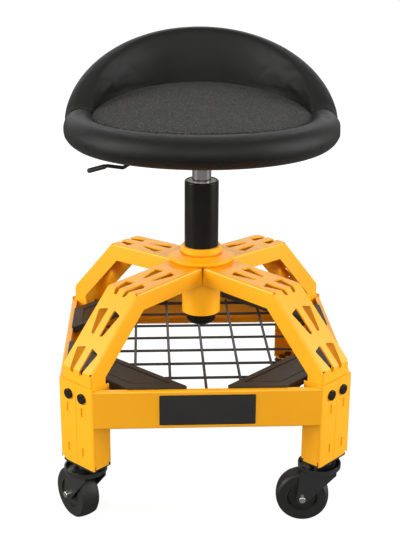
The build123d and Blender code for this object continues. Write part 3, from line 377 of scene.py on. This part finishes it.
PAD_SPOKES = 264
PAD_RINGS = 28
PAD_HOLE = 4.0
PAD_FLAT = 153.0
EVEN_SHARE = 0.55
PAD_EDGE = ((-2.4, 0.2, 0.3), (-1.2, 0.7, 0.7), (-0.2, 1.7, 1.0), (0.3, 3.6, 1.0), (0.1, 7.0, 0.5),
            (-0.4, 10.0, 0.0))
GATHER_FROM_SHARE = 0.88
GATHER_SHARE = 0.6
SIDE_GATHER_SHARE = 0.2
GATHER_START = 0.35
GATHER_SPAN = 0.9
GATHERS = 11
GATHER_COUNTS = (34, 110)
GATHER_SIZES = (0.12, 0.34)
BOARD_GAP = 0.4
UNDER_RADII = (PAD_RADIUS - 1.3, 120.0, 60.0, PAD_HOLE)

# Cloth step: pressure, furthest move in metres and shrink, then what is held still below and near the seam

CLOTH_FRAMES = 20
BOLSTER_CLOTH = (2.0, 0.0014, -0.006)
BACK_CLOTH = (1.0, 0.0008, 0.006)
HELD_DROP = 14.0
HELD_FADE = 10.0
HELD_RISE = 12.0
HELD_REACH = 6.0
HELD_MARGIN = 1.0
LEAST_HOLD = 0.01

bolster_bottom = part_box("seat_bolster")[0].z / MM
back_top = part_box("backrest_pad")[1].z / MM
plate_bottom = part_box("seat_hub")[1].z / MM
board_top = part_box("seat_board")[1].z / MM
side_height = bolster_bottom + HALF_HEIGHT
seam_middle = plate_bottom + PAD_SEAM_RISE


def smooth(value):
    """Soft step from 0 to 1."""
    value = min(max(value, 0.0), 1.0)
    return value * value * (3.0 - 2.0 * value)


def closed_curve(points, count):
    """Even points on a smooth closed curve through control points."""
    n = len(points)
    dense = []
    for i in range(n):
        p0, p1, p2, p3 = (Vector(points[(i + k) % n]) for k in (-1, 0, 1, 2))
        for step in range(CURVE_STEPS):
            t = step / CURVE_STEPS
            dense.append(0.5 * ((2 * p1) + (p2 - p0) * t + (2 * p0 - 5 * p1 + 4 * p2 - p3) * t * t
                                + (3 * p1 - p0 - 3 * p2 + p3) * t * t * t))
    lengths = [0.0]
    for a, b in zip(dense, dense[1:] + dense[:1]):
        lengths.append(lengths[-1] + (b - a).length)
    out = []
    j = 0
    for k in range(count):
        want = lengths[-1] * k / count
        while lengths[j + 1] < want:
            j += 1
        share = (want - lengths[j]) / max(lengths[j + 1] - lengths[j], 1e-9)
        out.append(dense[j].lerp(dense[(j + 1) % len(dense)], share))
    return out


def seam_height(angle):
    """Height of the pad's seam, angle from the back of the seat."""
    turn = math.radians(angle)
    return seam_middle + PAD_TILT * math.cos(turn) + PAD_SADDLE * math.cos(2.0 * turn)


def oval(centre, middle, half_width, half_height, angles):
    """Points of an oval in a section, at angles from its outer side."""
    turns = [math.radians(a) for a in angles]
    return [(centre + half_width * math.cos(t), middle + half_height * math.sin(t)) for t in turns]


def ring_height(angle):
    """Height of the ring's middle, which rises a little towards the front."""
    front = max(0.0, -math.cos(math.radians(angle)))
    return side_height + FRONT_RISE * front * front


def bolster_section(angle, inset):
    """Outline of the front roll as (radius, height), tucked under the pad at its inner top."""
    middle = ring_height(angle)
    points = [(PAD_RADIUS - TUCK, seam_height(angle) - SEAM_DEPTH)]
    points += oval(RING, middle, HALF_WIDTH, HALF_HEIGHT, ROLL_TURNS + LOW_TURNS)
    centre = Vector((RING, middle))
    return [centre + (Vector(p) - centre) * (1.0 - inset / HALF_HEIGHT) for p in points]


def back_section(angle, inset):
    """Outline of the backrest: rolled top, outer and inner faces, rounded foot."""
    middle = ring_height(angle)
    seam = seam_height(angle)
    share = max(LEAST_SHARE, math.cos(math.radians(90.0 * angle / JOINT))) ** PROFILE_SHARE
    ring_top = middle + HALF_HEIGHT
    top = ring_top + (back_top - side_height - HALF_HEIGHT) * share
    half_width = HALF_WIDTH + (ROLL_HALF_WIDTH - HALF_WIDTH) * share
    half_height = HALF_HEIGHT + (ROLL_HALF_HEIGHT - HALF_HEIGHT) * share
    centre = RING + ROLL_LEAN * math.sqrt(share)
    high = top - ring_top
    roll_middle = top - half_height
    inner = max(centre - half_width, PAD_RADIUS + TUCK)
    foot = PAD_RADIUS + FOOT_OUT + (inner - PAD_RADIUS) * FOOT_REACH
    outer = (centre + half_width + RING + HALF_WIDTH) / 2 + OUTER_SWELL * share
    waist = max(roll_middle - high * INNER_DROP_SHARE, seam + high * INNER_LEAST_SHARE)
    points = [(PAD_RADIUS + SEAM_OUT, seam - SEAM_DEPTH), (foot, seam + high * INNER_FOOT_SHARE)]
    points += [(inner + INNER_OUT, waist)]
    points += oval(centre, roll_middle, half_width, half_height, BACK_ROLL_TURNS)
    points += [(outer, (roll_middle + middle) / 2)]
    points += oval(RING, middle, HALF_WIDTH, HALF_HEIGHT, LOW_TURNS)
    middle_point = Vector((RING + ROLL_LEAN * share / 2, middle + high * MIDDLE_SHARE))
    shrunk = []
    for p in points:
        arm = Vector(p) - middle_point
        shrunk.append(middle_point + arm * (1.0 - inset / max(arm.length, HALF_HEIGHT)))
    return shrunk


def seat_point(angle, radius, height):
    """Place on the seat, angle from its back towards the right, turned as the seat is."""
    turn = math.radians(angle + SEAT_TURN)
    return Vector((radius * math.sin(turn), radius * math.cos(turn), height)) * MM


def swept(name, section, first, last, around):
    """Closed tube of quads: one outline per step, ends closed with a slightly domed cap."""
    bm = bmesh.new()
    rings = []
    for i in range(SEAT_STEPS + 1):
        angle = first + (last - first) * i / SEAT_STEPS
        edge = min(i, SEAT_STEPS - i) * abs(last - first) / SEAT_STEPS
        squeeze = END_SQUEEZE * max(0.0, 1.0 - edge / END_SPAN) ** 2
        outline = closed_curve([tuple(p) for p in section(angle, squeeze)], around)
        rings.append([bm.verts.new(seat_point(angle, p.x, p.y)) for p in outline])
    for a, b in zip(rings, rings[1:]):
        for k in range(around):
            bm.faces.new((a[k], a[(k + 1) % around], b[(k + 1) % around], b[k]))
    for ring, outward in ((rings[0], -1.0), (rings[-1], 1.0)):
        step = 1.0 if last > first else -1.0
        current = ring
        angle = first if outward < 0 else last
        centre = sum((v.co for v in ring), Vector()) / len(ring)
        turn = math.radians(angle + SEAT_TURN)
        tangent = Vector((math.cos(turn), -math.sin(turn), 0.0)) * outward * step
        for level in range(1, CAP_RINGS + 1):
            share = 1.0 - level / (CAP_RINGS + CAP_REST)
            push = tangent * (END_BULGE * MM) * (1.0 - share * share)
            inner = [bm.verts.new(centre + (v.co - centre) * share + push) for v in ring]
            for k in range(around):
                bm.faces.new((current[k], inner[k], inner[(k + 1) % around], current[(k + 1) % around]))
            current = inner
        bm.faces.new(current)
    bmesh.ops.recalc_face_normals(bm, faces=bm.faces)
    return to_object(name, bm)


def to_object(name, bm):
    """Turns a mesh being edited into a smooth-shaded object of the scene."""
    mesh = bpy.data.meshes.new(name)
    bm.to_mesh(mesh)
    bm.free()
    for face in mesh.polygons:
        face.use_smooth = True
    obj = bpy.data.objects.new(name, mesh)
    bpy.context.scene.collection.objects.link(obj)
    return obj


def pad_surface(x, y):
    """Height of the cloth pad's top at a place in millimetres."""
    across = x / PAD_RADIUS
    along = y / PAD_RADIUS
    square = min(across * across + along * along, 1.0)
    seam = seam_middle + PAD_TILT * along + PAD_SADDLE * (along * along - across * across)
    return seam + PAD_CROWN * (1.0 - square) ** PAD_CROWN_POWER


def ripple(angle, waves):
    """Gathers of the cloth along the seam, strongest at the front."""
    front = smooth((-math.cos(math.radians(angle)) + GATHER_START) / GATHER_SPAN)
    total = sum(size * math.sin(math.radians(angle) * count + phase) for count, size, phase in waves)
    return total * (SIDE_GATHER_SHARE + (1.0 - SIDE_GATHER_SHARE) * front)


def make_pad():
    """Cloth disc: polar grid with a rounded, slightly gathered edge, closed below."""
    rng = random.Random(21)
    waves = [(rng.randint(*GATHER_COUNTS), rng.uniform(*GATHER_SIZES), rng.uniform(0.0, math.tau))
             for _ in range(GATHERS)]
    board = board_top + BOARD_GAP
    count = PAD_SPOKES
    fade_from = GATHER_FROM_SHARE * PAD_RADIUS
    shares = [math.sqrt(i / PAD_RINGS) for i in range(PAD_RINGS + 1)]
    reach = PAD_FLAT - PAD_HOLE
    radii = [PAD_HOLE + reach * share * (EVEN_SHARE + (1.0 - EVEN_SHARE) * share) for share in shares]
    levels = [(r, 0.0, 0.0) for r in radii]
    levels += [(PAD_RADIUS + outward, drop, pull) for outward, drop, pull in PAD_EDGE]
    bm = bmesh.new()
    rings = []
    for r, drop, seam_pull in levels:
        ring = []
        for k in range(count):
            angle = 360.0 * k / count
            turn = math.radians(angle)
            x, y = r * math.sin(turn), r * math.cos(turn)
            gather = ripple(angle, waves)
            if drop:
                pull = gather * (GATHER_SHARE + (1.0 - GATHER_SHARE) * seam_pull)
                z = max(seam_height(angle) - drop + pull, board)
            else:
                near_edge = smooth((r - fade_from) / (PAD_RADIUS - fade_from))
                z = pad_surface(x, y) + gather * GATHER_SHARE * near_edge
            ring.append(bm.verts.new(Vector((x, y, z)) * MM))
        rings.append(ring)
    for r in UNDER_RADII:
        turns = [math.tau * k / count for k in range(count)]
        places = [(r * math.sin(turn), r * math.cos(turn)) for turn in turns]
        rings.append([bm.verts.new(Vector((x, y, board)) * MM) for x, y in places])
    for a, b in zip(rings, rings[1:]):
        for k in range(count):
            bm.faces.new((a[k], a[(k + 1) % count], b[(k + 1) % count], b[k]))
    bm.faces.new(rings[0])
    bm.faces.new(rings[-1])
    bmesh.ops.recalc_face_normals(bm, faces=bm.faces)
    return to_object("seat_pad_cloth", bm)


def swell(obj, pinned, pressure, cap, shrink):
    """Blows the piece up as cloth, then lets no point move further than the cap."""
    before = [v.co.copy() for v in obj.data.vertices]
    group = obj.vertex_groups.new(name="held")
    for index, weight in pinned.items():
        group.add([index], weight, "REPLACE")
    cloth = obj.modifiers.new("cloth", "CLOTH")
    settings = cloth.settings
    settings.quality = 6
    settings.mass = 0.25
    settings.tension_stiffness = 22.0
    settings.compression_stiffness = 22.0
    settings.shear_stiffness = 12.0
    settings.bending_stiffness = 0.9
    settings.use_pressure = True
    settings.uniform_pressure_force = pressure
    settings.shrink_min = shrink
    settings.vertex_group_mass = "held"
    settings.effector_weights.gravity = 0.0
    cloth.collision_settings.use_collision = False
    scene = bpy.context.scene
    for number in range(1, CLOTH_FRAMES + 1):
        scene.frame_set(number)
    deps = bpy.context.evaluated_depsgraph_get()
    moved = obj.evaluated_get(deps).to_mesh()
    after = [v.co.copy() for v in moved.vertices]
    obj.evaluated_get(deps).to_mesh_clear()
    obj.modifiers.remove(cloth)
    obj.vertex_groups.remove(group)
    scene.frame_set(1)
    for vertex, old, new in zip(obj.data.vertices, before, after):
        step = new - old
        if step.length > cap:
            step = step.normalized() * cap
        vertex.co = old + step


def held_below(obj):
    """Weights that hold what lies low or at the inner seam."""
    height = side_height - HELD_DROP
    pinned = {}
    for v in obj.data.vertices:
        radius = math.hypot(v.co.x, v.co.y) / MM
        z = v.co.z / MM
        at_seam = 0.0
        if z < seam_middle + HELD_RISE:
            at_seam = 1.0 - smooth((radius - PAD_RADIUS - HELD_MARGIN) / HELD_REACH)
        weight = max(1.0 - smooth((z - height) / HELD_FADE), at_seam)
        if weight > LEAST_HOLD:
            pinned[v.index] = min(weight, 1.0)
    return pinned


def soft_finish(obj, mat, body, node):
    """Gives a soft piece its material and a finer skin, and puts it in the place of its solid."""
    obj.data.materials.append(mat)
    level = obj.modifiers.new("finer", "SUBSURF")
    level.levels = 1
    level.render_levels = 1
    level.use_limit_surface = False
    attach(obj, body)
    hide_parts(node)


def make_seat():
    """The three soft pieces of the seat, each in the place of its solid."""
    leather = vinyl()
    cloth = seat_cloth()
    start = JOINT + JOINT_GAP
    bolster = swept("seat_bolster_vinyl", bolster_section, 360.0 - start, start, BOLSTER_POINTS)
    back = swept("backrest_vinyl", back_section, JOINT_GAP - JOINT, JOINT - JOINT_GAP, BACK_POINTS)
    swell(bolster, held_below(bolster), *BOLSTER_CLOTH)
    swell(back, held_below(back), *BACK_CLOTH)
    pad = make_pad()
    soft_finish(bolster, leather, "seat", "seat_bolster")
    soft_finish(back, leather, "seat", "backrest_pad")
    soft_finish(pad, cloth, "seat", "seat_pad")


# Floor and light, in metres and watts

FLOOR_HALF = 14.0
FLOOR_TONE = 0.18
FLOOR_GLOW = 0.9
FLOOR_GLOW_SPAN = (0.35, 1.6)
FLOOR_MIRRORED = 0.05
WORLD_LIGHT = 0.12
WORLD_MIRRORED = 0.14


def make_floor():
    """Floor that the camera sees as white, a little less so under the stool, where its shadow lies."""
    n = Nodes("floor_white")
    rays = n.new("LightPath").outputs
    far = n.new("VectorMath", operation="LENGTH", inputs={0: n.coords}).outputs["Value"]
    glow_seen = n.spread(far, FLOOR_GLOW, 1.0, *FLOOR_GLOW_SPAN)
    mirrored = n.maths("MAXIMUM", rays["Is Glossy Ray"], rays["Is Transmission Ray"])
    strength = n.maths("MAXIMUM", n.maths("MULTIPLY", rays["Is Camera Ray"], glow_seen),
                       n.maths("MULTIPLY", mirrored, FLOOR_MIRRORED))
    glow = n.new("Emission", inputs={"Color": (1.0, 1.0, 1.0, 1.0), "Strength": strength})
    n.done((FLOOR_TONE,) * 3, 0.9, specular_ior_level=0.0)
    both = n.new("AddShader", inputs={0: n.shader.outputs[0], 1: glow.outputs[0]})
    n.tree.links.new(both.outputs[0], n.tree.nodes["Material Output"].inputs["Surface"])
    bm = bmesh.new()
    bmesh.ops.create_grid(bm, x_segments=2, y_segments=2, size=FLOOR_HALF)
    floor = to_object("floor", bm)
    floor.data.materials.append(n.mat)


def make_world():
    """World that lights dimly, is white to the camera, and shows dimly in metal and glass."""
    world = bpy.context.scene.world or bpy.data.worlds.new("world")
    bpy.context.scene.world = world
    world.use_nodes = True
    tree = world.node_tree
    tree.nodes.clear()
    out = tree.nodes.new("ShaderNodeOutputWorld")
    lit = tree.nodes.new("ShaderNodeBackground")
    lit.inputs[0].default_value = (0.97, 0.98, 1.0, 1.0)
    lit.inputs[1].default_value = WORLD_LIGHT
    white = tree.nodes.new("ShaderNodeBackground")
    white.inputs[0].default_value = (1.0, 1.0, 1.0, 1.0)
    rays = tree.nodes.new("ShaderNodeLightPath")
    mirrored = tree.nodes.new("ShaderNodeMath")
    mirrored.operation = "MAXIMUM"
    tree.links.new(rays.outputs["Is Glossy Ray"], mirrored.inputs[0])
    tree.links.new(rays.outputs["Is Transmission Ray"], mirrored.inputs[1])
    dimmed = tree.nodes.new("ShaderNodeMath")
    dimmed.operation = "MULTIPLY_ADD"
    dimmed.inputs[1].default_value = WORLD_MIRRORED
    tree.links.new(mirrored.outputs[0], dimmed.inputs[0])
    tree.links.new(rays.outputs["Is Camera Ray"], dimmed.inputs[2])
    mix = tree.nodes.new("ShaderNodeMixShader")
    tree.links.new(dimmed.outputs[0], mix.inputs[0])
    tree.links.new(lit.outputs[0], mix.inputs[1])
    tree.links.new(white.outputs[0], mix.inputs[2])
    tree.links.new(mix.outputs[0], out.inputs[0])


def lamp(name, place, aim_height, width, height, power):
    """Area lamp at a place, aimed at a height on the column."""
    data = bpy.data.lights.new(name, "AREA")
    data.shape = "RECTANGLE"
    data.size = width
    data.size_y = height
    data.energy = power
    obj = bpy.data.objects.new(name, data)
    bpy.context.scene.collection.objects.link(obj)
    obj.location = place
    obj.rotation_mode = "QUATERNION"
    aim = Vector((0.0, 0.0, aim_height))
    obj.rotation_quaternion = (aim - Vector(place)).to_track_quat("-Z", "Y")


def make_light():
    """Tall softboxes at both sides, a weaker one in front, a wide one behind and a small one above."""
    lamp("softbox_left", (-2.3, -0.45, 1.1), 0.35, 1.1, 1.8, 66.0)
    lamp("softbox_right", (2.3, -0.35, 1.0), 0.35, 1.1, 1.8, 59.0)
    lamp("front", (0.0, -2.4, 1.3), 0.3, 2.4, 1.2, 43.0)
    lamp("backdrop", (0.0, 2.6, 1.5), 0.4, 4.0, 1.6, 26.0)
    lamp("top", (0.0, 0.3, 2.2), 0.4, 1.8, 1.8, 7.0)


make_camera()
dress()
make_seat()
make_floor()
make_world()
make_light()
bpy.context.scene.view_settings.view_transform = "Standard"
